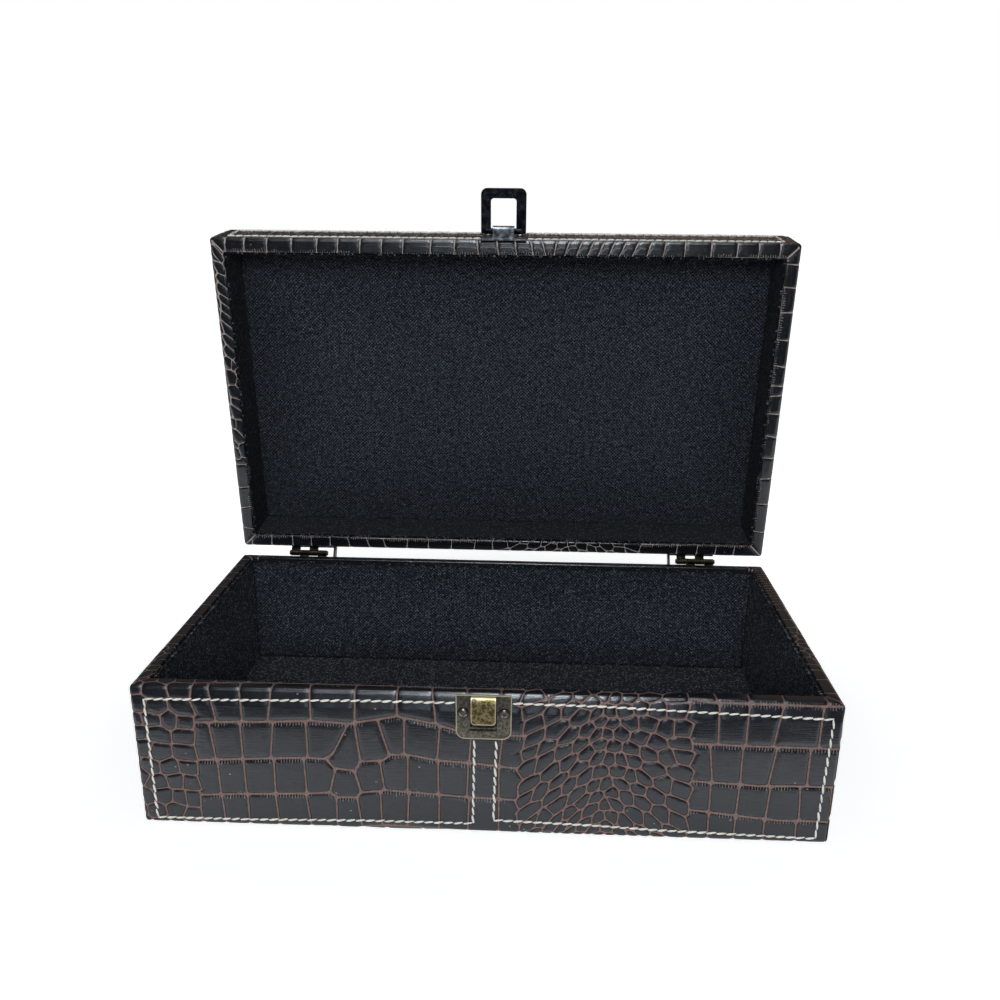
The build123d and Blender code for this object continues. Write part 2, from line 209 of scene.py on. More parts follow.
class Look(Nodes):
    """A node material."""

    def __init__(self, name):
        self.material = bpy.data.materials.new(name)
        super().__init__(self.material, "OutputMaterial")
        self.surface = self.node("BsdfPrincipled")
        self.feed(self.end, self.surface.outputs[0])

    def math(self, operation, *values):
        node = self.node("Math")
        node.operation = operation
        return self.fed(node, *values)

    def times(self, first, second):
        return self.math("MULTIPLY", first, second)

    def scaled(self, value, factor, more):
        """The value times the factor, plus more."""
        return self.math("MULTIPLY_ADD", value, factor, more)

    def length(self, x, y):
        return self.math("SQRT", self.math("ADD", *[self.math("POWER", part, 2.0) for part in (x, y)]))

    def span(self, value, low, high, to_low=0.0, to_high=1.0, kind="SMOOTHSTEP"):
        """Maps a value from one range to another, clamped."""
        node = self.node("MapRange")
        node.interpolation_type = kind
        return self.fed(node, value, low, high, to_low, to_high)

    def mix(self, share, first, second):
        """Blends two colours."""
        node = self.node("Mix")
        node.data_type = "RGBA"
        for place, value in ((0, share), (6, first), (7, second)):
            self.feed(node.inputs[place], value)
        return node.outputs[2]

    def parts(self, vector):
        """The three numbers of a vector or colour."""
        node = self.node("SeparateXYZ")
        self.fed(node, vector)
        return list(node.outputs)

    def attribute(self, name):
        """The three numbers of a mesh attribute."""
        node = self.node("Attribute")
        node.attribute_name = name
        return self.parts(node.outputs["Vector"])

    def joined(self, x, y):
        return self.fed(self.node("CombineXYZ"), x, y)

    def stretched(self, vector, x, y, z=1.0):
        node = self.node("VectorMath")
        node.operation = "MULTIPLY"
        return self.fed(node, vector, (x, y, z))

    def place(self):
        """Object coordinates in millimetres. Pieces are built in the row frame, so they ride along."""
        return self.stretched(self.node("TexCoord").outputs["Object"], 1000.0, 1000.0, 1000.0)

    def noise(self, vector, scale, detail=2.0, roughness=0.5):
        return self.fed(self.node("TexNoise"), Vector=vector, Scale=scale, Detail=detail, Roughness=roughness)

    def speck(self, vector, scale, share, size):
        """1 on small scattered specks, 0 elsewhere."""
        node = self.node("TexVoronoi")
        near = self.span(self.fed(node, Vector=vector, Scale=scale), *size, 1.0, 0.0)
        chosen = self.span(self.parts(node.outputs["Color"])[0], 1 - share, 1 - share + 0.01)
        return self.times(near, chosen)

    def finished(self, height, **inputs):
        """Gives the surface its relief in millimetres and its inputs, named with underscores for spaces."""
        for name, value in inputs.items():
            self.feed(self.surface.inputs[name.replace("_", " ")], value)
        if height:
            relief = self.fed(self.node("Bump"), Strength=1.0, Distance=MM, Height=height)
            self.feed(self.surface.inputs["Normal"], relief)
        return self.material


def leatherette():
    """Glossy black scales with matt brown grooves, drawn from the pattern attributes."""
    look = Look("leatherette")
    near = [look.math("ABSOLUTE", line) for line in look.attribute("lines")]
    across, along, tone = look.attribute("grain")
    below, past, pale = look.attribute("edge")
    sheet = look.joined(across, along)
    edge = look.math("SMOOTH_MIN", look.math("SMOOTH_MIN", near[0], near[1], 2.3), near[2], 0.9)
    edge = look.math("ADD", edge, look.scaled(look.noise(sheet, 0.45), 0.44, -0.22))
    groove = look.span(edge, 0.27, 0.48, 1.0, 0.0)
    rim = look.span(edge, 0.52, 0.86, 1.0, 0.0)
    flat = look.span(past, -12.0, -6.0, 1.0, 0.3)
    lip = look.span(below, 0.4, 1.2, 0.5, 0.0)
    streaks = look.noise(look.stretched(sheet, 0.10, 1.5), 1.0, 3.0, 0.6)
    pebble = look.noise(sheet, 0.9, 3.0, 0.55)
    # Short fine ticks that hang from the row lines
    strand = look.scaled(look.noise(sheet, 0.25, 1.0), 5.0, look.times(across, math.tau / TICK_PITCH))
    reach = look.math("SUBTRACT", below, look.scaled(look.noise(sheet, 0.5, 1.0), 4.2, -0.3))
    band = look.times(look.span(below, 0.45, 0.7), look.span(reach, -0.3, 0.3, 1.0, 0.0))
    ticks = look.times(look.span(look.math("SINE", strand), 0.35, 0.9), band)
    ticks = look.times(ticks, look.span(look.noise(sheet, 0.075, 1.0), 0.36, 0.5))
    # Colours
    scale_tone = look.mix(tone, (0.0052, 0.0064, 0.0092), (0.0098, 0.0110, 0.0145))
    # Past the rim, plates are painted darker with the pale share: painted shade on the rims.
    scale_tone = look.mix(look.times(pale, 0.75), scale_tone, (0.0025, 0.0026, 0.0032))
    # A reddish dark band just outside each groove is painted shade.
    scale_tone = look.mix(rim, scale_tone, (0.010, 0.0035, 0.0035))
    groove_tone = look.mix(look.span(pebble, 0.3, 0.7), (0.11, 0.063, 0.055), (0.21, 0.138, 0.12))
    groove_tone = look.mix(pale, groove_tone, (0.30, 0.265, 0.25))
    dust = look.speck(look.stretched(sheet, 1.0, 1.5), 0.15, 0.3, (0.04, 0.10))
    scuff = look.span(look.noise(look.stretched(sheet, 0.5, 1.3), 0.55, 4.0, 0.7), 0.66, 0.74)
    colour = look.mix(groove, scale_tone, groove_tone)
    colour = look.mix(look.times(ticks, 0.85), colour, (0.19, 0.165, 0.16))
    colour = look.mix(look.times(scuff, 0.35), colour, (0.05, 0.05, 0.053))
    colour = look.mix(look.times(dust, 0.6), colour, (0.34, 0.34, 0.36))
    # Gloss and relief
    rough = look.scaled(look.noise(sheet, 0.3, 3.0), 0.22, 0.13)
    rough = look.math("MAXIMUM", rough, look.times(groove, 0.6))
    gloss = look.math("MAXIMUM", look.span(rim, 0.0, 1.0, 0.5, 0.05), lip)
    gloss = look.times(gloss, look.span(streaks, 0.25, 0.6, 0.7, 1.0))
    pillow = look.math("ADD", look.span(edge, 0.30, 0.95, 0.0, 0.28), look.span(edge, 0.4, 3.2, 0.0, 0.16))
    fine = look.scaled(streaks, 0.12, look.times(pebble, 0.035))
    height = look.scaled(pillow, flat, look.math("ADD", fine, look.times(look.noise(sheet, 0.055), 0.7)))
    height = look.scaled(ticks, -0.08, height)
    height = look.math("ADD", height, look.span(past, -11.5, 0.0, 0.0, -3.2))
    return look.finished(
        height, Base_Color=colour, Roughness=rough, IOR=1.5, Coat_Weight=gloss, Coat_Roughness=0.09,
        Specular_Tint=(0.86, 0.93, 1.0),
    )


def woven_lining():
    """Coarse black cloth: raised threads in a checker on the diagonal, with dull painted glints, painted
    shade toward each card's edges and a painted light level per card.
    """
    look = Look("woven_lining")
    across, along, _ = look.attribute("weave")
    border, light_level, glint_share = look.attribute("cloth")
    sheet = look.joined(across, along)
    turn = math.tau / THREAD_PITCH
    one = look.math("COSINE", look.scaled(across, turn, look.times(look.noise(sheet, 0.11), 6.0)))
    two = look.math("COSINE", look.times(along, turn))
    weave = look.scaled(look.times(one, two), 0.5, 0.5)
    fibre = look.noise(sheet, 0.95, 3.0, 0.7)
    clump = look.noise(sheet, 0.40, 4.0, 0.75)
    slub = [look.noise(look.stretched(sheet, *size), 1.0) for size in ((0.9, 0.06), (0.06, 0.9))]
    tone_and_light = look.span(weave, 0.1, 1.0, 0.08, 1.0)
    for share in (
        look.span(fibre, 0.34, 0.68, 0.1, 1.3, "LINEAR"),
        look.span(clump, 0.36, 0.64, 0.25, 1.5, "LINEAR"),
        look.span(look.math("ADD", *slub), 0.75, 1.25, 0.8, 1.15),
        # Darker toward the card's edges: painted shade. Then the card's painted light level.
        look.span(border, 0.0, 2.5, 0.1, 1.0),
        look.span(border, 0.0, 55.0, 0.6, 1.0),
        light_level,
    ):
        tone_and_light = look.times(tone_and_light, share)
    colour = look.mix(tone_and_light, (0.0016, 0.0021, 0.0034), (0.066, 0.080, 0.104))
    # Bright specks are painted glints, stronger on the cards seen at a slant.
    small, large = look.speck(sheet, 0.85, 0.5, (0.25, 0.5)), look.speck(sheet, 0.5, 0.28, (0.14, 0.32))
    glint = look.times(look.math("MAXIMUM", small, large), look.span(fibre, 0.36, 0.62, 0.15, 1.0))
    colour = look.mix(look.times(glint, glint_share), colour, (0.34, 0.39, 0.48))
    height = look.scaled(weave, 0.22, look.times(fibre, 0.16))
    return look.finished(
        height, Base_Color=colour, Roughness=0.75, Specular_IOR_Level=0.12, Sheen_Weight=0.03,
        Sheen_Roughness=0.5,
    )


def fibreboard():
    """Pressed grey-brown board. It is hidden by the wrap."""
    look = Look("fibreboard")
    fibre = look.noise(look.stretched(look.place(), 1.0, 1.0, 3.0), 0.8, 5.0, 0.7)
    colour = look.mix(fibre, (0.16, 0.12, 0.085), (0.30, 0.24, 0.18))
    return look.finished(look.times(fibre, 0.1), Base_Color=colour, Roughness=0.85)


def fibrous(name, fibres, tones, cloud, relief, **inputs):
    """Fine fibres of two tones, with soft clouds of a third."""
    look = Look(name)
    place = look.place()
    fibre = look.noise(place, *fibres)
    colour = look.mix(look.span(fibre, 0.3, 0.7), tones[0], tones[1])
    colour = look.mix(look.span(look.noise(place, cloud[0]), *cloud[1:], 0.0, 0.3), colour, tones[2])
    return look.finished(look.times(fibre, relief), Base_Color=colour, **inputs)


def metal(name, dark, bright, worn_share, rough, patina=1.0, grain=0.35, catch=False):
    """Plated metal with a mottled patina. The catch has a darker top, a tongue rubbed to gold, and pale gold
    edges that are partly rubbed wear and partly a painted highlight."""
    look = Look(name)
    place = look.place()
    blotch = look.noise(place, grain, 5.0, 0.62)
    fine = look.noise(place, 2.4, 3.0, 0.6)
    worn = look.span(blotch, 0.5 - 0.18 * patina, 0.5 + 0.18 * patina)
    worn = look.times(worn, look.span(fine, 0.2, 0.7, worn_share, 1.0))
    colour = look.mix(worn, dark, bright)
    metallic = 1.0
    if catch:
        x, y, z = look.parts(place)
        ahead = look.span(y, FRONT - 3.2, FRONT - 2.2, 1.0, 0.0)
        colour = look.mix(look.span(z, 57.0, 66.0, 0.0, 0.3), colour, (0.05, 0.045, 0.055))
        colour = look.mix(ahead, colour, look.mix(worn, (0.10, 0.075, 0.032), (0.52, 0.44, 0.24)))
        plate = inward(look, x, z, CATCH_HALF, CATCH_LOW, 4.0)
        tongue = inward(look, x, z, TONGUE_HALF, TONGUE_TIP, 1.8)
        depth = look.math("ADD", plate, look.times(ahead, look.math("SUBTRACT", tongue, plate)))
        # Pale gold along the edges: partly rubbed wear, partly a painted highlight.
        rubbed_and_highlit = look.span(depth, 0.18, 0.54, 0.7, 0.0)
        colour = look.mix(rubbed_and_highlit, colour, (0.78, 0.70, 0.48))
        colour = look.mix(look.times(screw_ring(look, x, z), 0.85), colour, (0.02, 0.02, 0.022))
        metallic = look.scaled(rubbed_and_highlit, -0.5, 1.0)
    shine = look.span(worn, 0.0, 1.0, rough[1], rough[0], "LINEAR")
    height = look.scaled(fine, 0.012, look.times(blotch, 0.02))
    return look.finished(height, Base_Color=colour, Roughness=shine, Metallic=metallic)


def inward(look, x, z, half, low, corner):
    """How far a place lies inside a sheet's outline with round lower corners, under the catch's top."""
    aside = look.math("SUBTRACT", look.math("ABSOLUTE", look.math("SUBTRACT", x, LATCH_X)), half - corner)
    down = look.math("SUBTRACT", low + corner, z)
    past = look.length(*[look.math("MAXIMUM", part, 0.0) for part in (aside, down)])
    within = look.math("MINIMUM", look.math("MAXIMUM", aside, down), 0.0)
    reach = look.math("SUBTRACT", corner, look.math("ADD", past, within))
    return look.math("MINIMUM", reach, look.math("SUBTRACT", CATCH_TOP, z))


def screw_ring(look, x, z):
    """1 in a dark ring round the catch's two screw heads, 0 away from them."""
    low, high = (np.array(corner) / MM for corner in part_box("catch_screws"))
    radius = (high[2] - low[2]) / 2
    middle, spread = (low[0] + high[0]) / 2, (high[0] - low[0]) / 2 - radius
    aside = look.math("SUBTRACT", look.math("ABSOLUTE", look.math("SUBTRACT", x, middle)), spread)
    away = look.length(aside, look.math("SUBTRACT", z, low[2] + radius))
    return look.span(away, radius + 0.15, radius + 0.75, 1.0, 0.0)


LEATHERETTE = leatherette()
LINING = woven_lining()
BOARD = fibreboard()
FELT_LOOK = fibrous(
    "felt", (1.6, 5.0, 0.7), ((0.006, 0.006, 0.007), (0.022, 0.022, 0.024), (0.012, 0.012, 0.014)),
    (0.06, 0.35, 0.65), 0.35, Roughness=0.95, Specular_IOR_Level=0.1, Sheen_Weight=0.2,
)
CATCH = metal("catch_brass", (0.09, 0.085, 0.07), (0.28, 0.27, 0.22), 0.2, (0.34, 0.5), 0.6, 0.8, catch=True)
BRASS = metal("antique_brass", (0.045, 0.05, 0.057), (0.215, 0.23, 0.255), 0.35, (0.26, 0.46))
HINGE_BRASS = metal("hinge_brass", (0.010, 0.009, 0.007), (0.07, 0.06, 0.04), 0.4, (0.24, 0.40))
SCREW = metal("screw_bronze", (0.10, 0.095, 0.085), (0.45, 0.43, 0.38), 0.4, (0.26, 0.40), grain=0.9)
# Near-black: painted shade on a bronze loop seen against the light.
SHADED_BRONZE = metal("dark_bronze", (0.003, 0.003, 0.005), (0.014, 0.014, 0.018), 0.35, (0.22, 0.36))
# Cream waxed thread, soiled here and there
THREAD = fibrous(
    "stitch_thread", (2.2, 3.0, 0.6), ((0.62, 0.59, 0.52), (0.93, 0.91, 0.86), (0.46, 0.40, 0.32)),
    (0.09, 0.4, 0.7), 0.05, Roughness=0.5, Sheen_Weight=0.2,
)


# Crocodile grain. A plan has row lines, the columns of plates between them, and areas of small cells.
def wave(u, phase):
    """A gentle wander."""
    return 0.55 * (np.sin(u / 21.0 + phase * 1.9) + 0.55 * np.sin(u / 8.3 + phase * 3.1))


def plain_row(level, phase):
    """A row line that only wanders."""
    return lambda u: level + wave(u, phase)


def bent_row(places, levels, phase):
    """A row line through chosen heights."""
    return lambda u: np.interp(u, places, levels) + 0.35 * wave(u, phase)


def free_columns(start, seed):
    """Column lines of one row as (at the row's top, at its bottom)."""
    random = np.random.default_rng(seed)
    columns = []
    place = start
    while place < COLUMNS_END:
        lean = random.normal(0.0, 1.1)
        columns.append((place + lean, place - lean))
        place += COLUMN_PITCH * random.uniform(0.82, 1.2)
    return columns


def fan(axis, level, size, left, right):
    """A map to cells that shrink toward an axis. Each side has (how fast they grow, how its rows slope)."""

    def warp(u, v):
        off = u - axis
        away = np.sqrt(off**2 + 36.0) - 6.0
        growth = np.where(off < 0, left[0], right[0])
        slope = np.where(off < 0, left[1], right[1])
        across = np.sign(off) * np.log1p(growth * np.abs(off)) / growth
        return across / size, (v - level + slope * away) / (size * (1 + 0.6 * growth * away))

    return warp


def leaning(size, lean, slope):
    """A map to plain cells whose columns lean and whose rows slope."""
    return lambda u, v: ((u + lean * v) / size[0], (v + slope * u) / size[1])


def cell_area(left, right, warp, seed, span=AREA_SPAN, jitter=0.13, drift=None, top=1e3):
    """Rounded cells between two borders, each border given at the heights of the span."""
    random = np.random.default_rng(seed)
    ends = (min(left) - 14.0, max(right) + 14.0)
    sides = (np.linspace(*ends, AREA_SAMPLES), np.linspace(span[0], span[-1], AREA_SAMPLES))
    u, v = (grid.ravel() for grid in np.meshgrid(*sides))
    warped = np.stack(warp(u, v), 1)
    lows, highs = warped.min(0).astype(int) - 1, warped.max(0).astype(int) + 2
    seeds, rows = [], []
    for row in range(lows[1], highs[1]):
        shift = 0.5 * (row % 2) if drift is None else (drift * row) % 1
        for column in range(lows[0], highs[0]):
            seeds.append((column + shift + random.normal(0, jitter), row + random.normal(0, jitter)))
            rows.append(row)
    seeds, rows = np.array(seeds), np.array(rows)
    tones = random.uniform(0, 1, len(seeds))
    spread = ((warped[None] - seeds[:, None]) ** 2).sum(2)
    nearest = spread.argmin(1)
    known = spread.min(1) < 0.3
    place, level = u[nearest], v[nearest]
    real = (place > np.interp(level, span, left)) & (place < np.interp(level, span, right)) & (level < top)
    for row in np.unique(rows[real]):
        chosen = np.flatnonzero((rows == row) & real)
        for last, step, edge in ((chosen[0], -1, left), (chosen[-1], 1, right)):
            border = warp(np.interp(level[last : last + 1], span, edge), level[last : last + 1])[0][0]
            seeds[last, 0] = border - 0.5 * step
            if 0 <= last + step < len(rows) and rows[last + step] == row:
                seeds[last + step, 0] = border + 0.5 * step
    return {"ends": ends, "warp": warp, "seeds": seeds[known], "tones": tones[known], "real": real[known]}


def no_line(count):
    """A groove line out of reach, as (distance, slope in u, slope in v)."""
    return np.stack([np.full(count, FAR), np.zeros(count), np.zeros(count)])


def plates(plan, u, v):
    """Distances to the nearest row line and column line, with their slopes, of points among plates."""
    levels = np.array([row(u) for row in plan["rows"]])
    slopes = np.array([row(u + 0.5) - row(u - 0.5) for row in plan["rows"]])
    nearest = np.argmin(np.abs(levels - v), axis=0)
    each = np.arange(len(u))
    level, slope = levels[nearest, each], slopes[nearest, each]
    stretch = np.sqrt(1 + slope**2) / ROW_FINE
    row_line = np.stack([(v - level) / stretch, -slope / stretch, 1 / stretch])
    row_index = np.sum(levels < v, axis=0)
    column_line = no_line(len(u))
    tone = np.zeros(len(u))
    below = np.full(len(u), FAR)
    for index in range(1, len(plan["rows"])):
        here = np.flatnonzero(row_index == index)
        if not len(here):
            continue
        high, low = levels[index][here], levels[index - 1][here]
        depth = np.clip(high - low, 1.0, None)
        share = (v[here] - low) / depth
        tops, bottoms = np.array(plan["columns"][index]).T
        places = bottoms[:, None] + (tops - bottoms)[:, None] * share
        chosen = np.argmin(np.abs(places - u[here]), axis=0)
        tilt = (tops - bottoms)[chosen] / depth
        size = np.sqrt(1 + tilt**2)
        gap = u[here] - places[chosen, np.arange(len(here))]
        column_line[:, here] = np.stack([gap / size, 1 / size, -tilt / size])
        side = np.sum(places < u[here], axis=0)
        tone[here] = np.modf(np.abs(np.sin(side * 12.9898 + index * 78.233) * 43758.5453))[0]
        below[here] = np.minimum(high - v[here], 1.35 * (v[here] - low) + 0.3)
    return row_line, column_line, tone, below


def cells(area, u, v):
    """Distances to the two nearest borders between cells, with their slopes. Outside the cells, to the
    nearest cell."""
    warp, seeds, real = area["warp"], area["seeds"], area["real"]
    points = np.stack(warp(u, v), 1)
    by_u = (np.stack(warp(u + 0.05, v), 1) - np.stack(warp(u - 0.05, v), 1)) / 0.1
    by_v = (np.stack(warp(u, v + 0.05), 1) - np.stack(warp(u, v - 0.05), 1)) / 0.1
    apart = np.linalg.norm(seeds[:, None] - seeds[None], axis=2)
    np.fill_diagonal(apart, 1e6)
    lines = [np.zeros((3, len(u))) for _ in range(2)]
    tone = np.zeros(len(u))
    inside = np.zeros(len(u), bool)
    for start in range(0, len(u), CHUNK):
        part = slice(start, start + CHUNK)
        away = ((points[part, None] - seeds[None]) ** 2).sum(2)
        home = np.argmin(away, axis=1)
        each = np.arange(len(home))
        gaps = (away - away[each, home][:, None]) / (2 * apart[home])
        gaps[each, home] = 1e6
        inside[part] = real[home]
        gaps[~real[home][:, None] & ~real[None]] = 1e6
        order = np.argpartition(gaps, 2, axis=1)[:, :2]
        tone[part] = area["tones"][home]
        pair = []
        for other in order.T:
            toward = (seeds[home] - seeds[other]) / apart[home, other][:, None]
            slope_u, slope_v = (toward * by_u[part]).sum(1), (toward * by_v[part]).sum(1)
            line = np.stack([gaps[each, other], slope_u, slope_v])
            pair.append(line / np.hypot(slope_u, slope_v))
        nearer = np.abs(pair[1][0]) < np.abs(pair[0][0])
        lines[0][:, part] = np.where(nearer, pair[1], pair[0])
        lines[1][:, part] = np.where(nearer, pair[0], pair[1])
    return lines[0], lines[1], tone, inside


def grain_at(plan, u, v):
    """The three groove lines nearest each point, a tone and how far it lies from its row's upper line."""
    first, second, tone, below = plates(plan, u, v)
    third = no_line(len(u))
    for area in plan["areas"]:
        near = np.flatnonzero((u > area["ends"][0]) & (u < area["ends"][1]))
        if not len(near):
            continue
        one, two, cell_tone, inside = cells(area, u[near], v[near])
        cell, plate = near[inside], near[~inside]
        first[:, cell], second[:, cell] = one[:, inside] * CELL_FINE, two[:, inside] * CELL_FINE
        tone[cell] = cell_tone[inside]
        below[cell] = FAR
        third[:, plate] = one[:, ~inside]
    fine = np.where(v > plan["rim"], plan["fine"], 1.0)
    return [line * fine for line in (first, second, third)], tone, below


def pressed(lines, past):
    """How deep the groove presses the surface in. It is shallow on the rounded rim."""
    edge = np.min([np.abs(line[0]) for line in lines], axis=0)
    share = np.clip(edge / GROOVE_REACH, 0, 1)
    return GROOVE_DEPTH * np.interp(past, (-12, -6), (1.0, 0.35)) * (1 - share * share * (3 - 2 * share))


def grained_sheet(name, points, normals, u, v, faces, plan, seam=None):
    """A mesh pressed with the grain, carrying the attributes that the leatherette material reads."""
    lines, _, _ = grain_at(plan, u, v)
    if seam is not None:
        lines.append(np.stack([seam, seam * 0, seam * 0]))
    points = points - normals * pressed(lines, v - plan["rim"])[:, None]
    _, first, back = np.unique(np.round(points, 4), axis=0, return_index=True, return_inverse=True)
    kept = []
    for corners in back.ravel()[faces].tolist():
        ring = [corner for place, corner in enumerate(corners) if corner != corners[place - 1]]
        if len(set(ring)) >= 3 and len(set(ring)) == len(ring):
            kept.append(ring)
    made = mesh_object(name, points[first], kept, LEATHERETTE)
    u, v = u[first], v[first]
    _, tone, below = grain_at(plan, u, v)
    counts = np.array([len(ring) for ring in kept])
    loops = np.concatenate(kept)
    owner = np.repeat(np.arange(len(kept)), counts)
    centre_u = np.bincount(owner, u[loops]) / counts
    centre_v = np.bincount(owner, v[loops]) / counts
    lines, _, _ = grain_at(plan, centre_u, centre_v)
    step_u = u[loops] - centre_u[owner]
    step_v = v[loops] - centre_v[owner]
    values = [line[0][owner] + line[1][owner] * step_u + line[2][owner] * step_v for line in lines]
    values = np.stack(values, 1)
    if seam is not None:
        along = seam[first][loops]
        nearer = np.abs(along) < np.abs(values[:, 2])
        values[nearer, 2] = along[nearer]
    store(made, "lines", values, "CORNER")
    store(made, "grain", np.stack([u, v, tone], 1))
    past = v - plan["rim"]
    store(made, "edge", np.stack([below, past, np.where(past > -4.0, plan["pale"], 0.0)], 1))
    return made


# Walls
def section(height, tucked):
    """A wall's section as rows of (inset, height, outward inset part, outward height part, length).
    Its foot is turned under as a wide strip, or tucked behind the edge of a panel."""
    rows = []

    def straight(a, b, normal, step):
        count = max(1, int(round(math.dist(a, b) / step)))
        for share in np.arange(count) / count:
            rows.append((a[0] + (b[0] - a[0]) * share, a[1] + (b[1] - a[1]) * share, *normal))

    def arc(centre, radius, a, b, steps):
        for angle in a + (b - a) * np.arange(steps) / steps:
            out, up = -math.cos(angle), math.sin(angle)
            rows.append((centre[0] + radius * out, centre[1] + radius * up, out, up))

    quarter = math.pi / 2
    seen = height - 2.5
    if tucked:
        straight((EDGE + TUCK, TUCK), (EDGE, 0), (0, -1), STEP)
    else:
        straight((UNDER, 0), (EDGE, 0), (0, -1), 2.0)
    arc((EDGE, EDGE), EDGE, -quarter, 0, 6)
    straight((0, EDGE), (0, height - RIM_EDGE), (-1, 0), STEP)
    arc((RIM_EDGE, height - RIM_EDGE), RIM_EDGE, 0, quarter, 8)
    straight((RIM_EDGE, height), (WALL - INNER_EDGE, height), (0, 1), STEP)
    arc((WALL - INNER_EDGE, height - INNER_EDGE), INNER_EDGE, quarter, math.pi, 3)
    straight((WALL, height - INNER_EDGE), (WALL, seen), (1, 0), STEP)
    straight((WALL, seen), (WALL, height - TURN_IN), (1, 0), 3.0)
    rows.append((WALL, height - TURN_IN, 1, 0))
    rows = np.array(rows)
    steps = np.hypot(np.diff(rows[:, 0]), np.diff(rows[:, 1]))
    length = np.concatenate([[0], np.cumsum(steps)])
    foot = np.flatnonzero((np.abs(rows[:, 0]) < 1e-9) & (np.abs(rows[:, 1] - EDGE) < 1e-9))[0]
    return np.column_stack([rows, length - length[foot] + EDGE + FELT])


def wall(name, turns, length, depth, height, place, plan, flip):
    """One wall of a tray from its underside over the rim to the turn-in, mitred at both ends."""
    rows = section(height, flip)
    reach = length / 2 - EDGE
    bend = EDGE * math.pi / 4
    straight = np.linspace(-reach, reach, int(2 * reach / STEP) + 1)
    corner = np.linspace(0, bend, 4)[1:]
    along = np.concatenate([-reach - corner[::-1], straight, reach + corner])
    inset, level, out, up, run = [column[:, None] for column in rows.T]
    s = np.broadcast_to(along, (len(rows), len(along)))
    bent = np.clip(np.abs(s) - reach, 0, None) / EDGE
    radius = np.clip(EDGE - inset, 0, None)
    sign = np.sign(s)
    limit = length / 2 - np.maximum(inset, EDGE)
    x = np.clip(s, -limit, limit) + sign * radius * np.sin(bent)
    y = -(depth / 2 - np.maximum(inset, EDGE)) - radius * np.cos(bent)
    level, up, v = (np.broadcast_to(column, s.shape) for column in (level, up, run))
    points = np.stack([x, y, level], -1).reshape(-1, 3)
    normals = np.stack([-out * sign * np.sin(bent), out * np.cos(bent), up], -1).reshape(-1, 3)
    u = np.clip(s, -np.maximum(limit, 0) - bend, np.maximum(limit, 0) + bend).reshape(-1)
    mitre = (limit - np.abs(np.clip(s, -limit, limit))) / math.sqrt(2)
    mitre = np.where(inset > EDGE * 0.6, mitre, FAR).reshape(-1)
    for _ in range(turns):
        points, normals = (np.column_stack([-put[:, 1], put[:, 0], put[:, 2]]) for put in (points, normals))
    faces = grid_faces(np.arange(len(points)).reshape(s.shape))
    if flip:
        faces = faces[:, ::-1]
    normals = directions(place, normals)
    return grained_sheet(name, place(points), normals, u, v.reshape(-1), faces, plan, mitre)


